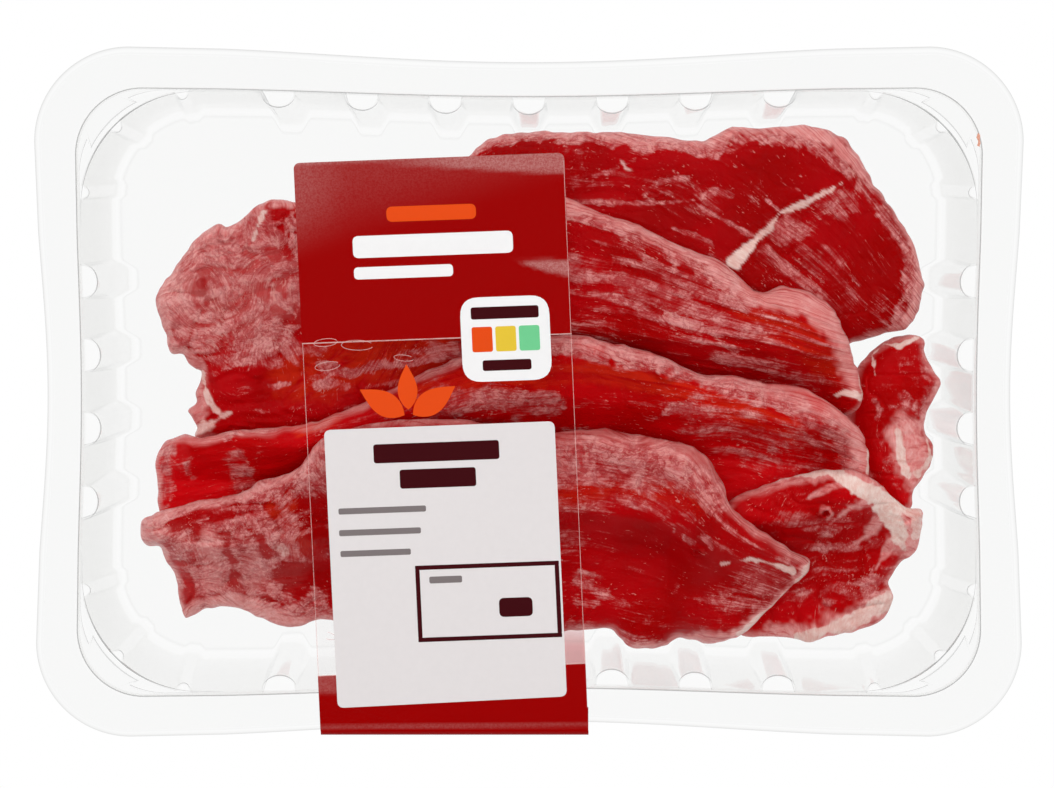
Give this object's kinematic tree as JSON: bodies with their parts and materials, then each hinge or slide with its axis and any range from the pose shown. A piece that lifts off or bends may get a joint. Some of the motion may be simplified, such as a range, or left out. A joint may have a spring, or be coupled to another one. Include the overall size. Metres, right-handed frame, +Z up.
{
  "type": "meat tray pack",
  "caption": "Sealed clear fluted tray of raw beef steaks laid over one another under a clear lid film, with a dark red printed band and a white price sticker.",
  "frame": {"origin": "middle of the pack's plan box, at the underside of the tray's base", "axes": "+X along the tray to the right, +Y to its back, +Z up; the band wraps the front flange at -Y"},
  "size_m": [0.2602, 0.182, 0.0459],
  "materials": {
    "tray_plastic": "clear gloss",
    "lid_plastic": "clear gloss",
    "beef": "wet raw meat",
    "band_red": "gloss print on clear film",
    "band_clear": "clear gloss",
    "sticker_paper": "satin"
  },
  "bodies": {
    "root": {"tray": "tray_plastic", "lid_film": "lid_plastic", "steak_side": "beef", "steak_back": "beef", "steak_second": "beef", "steak_third": "beef", "steak_under": "beef", "steak_front": "beef", "band_back_panel": "band_red", "band_front_panel": "band_red", "band_window": "band_clear", "price_sticker": "sticker_paper"}
  },
  "joints": []
}
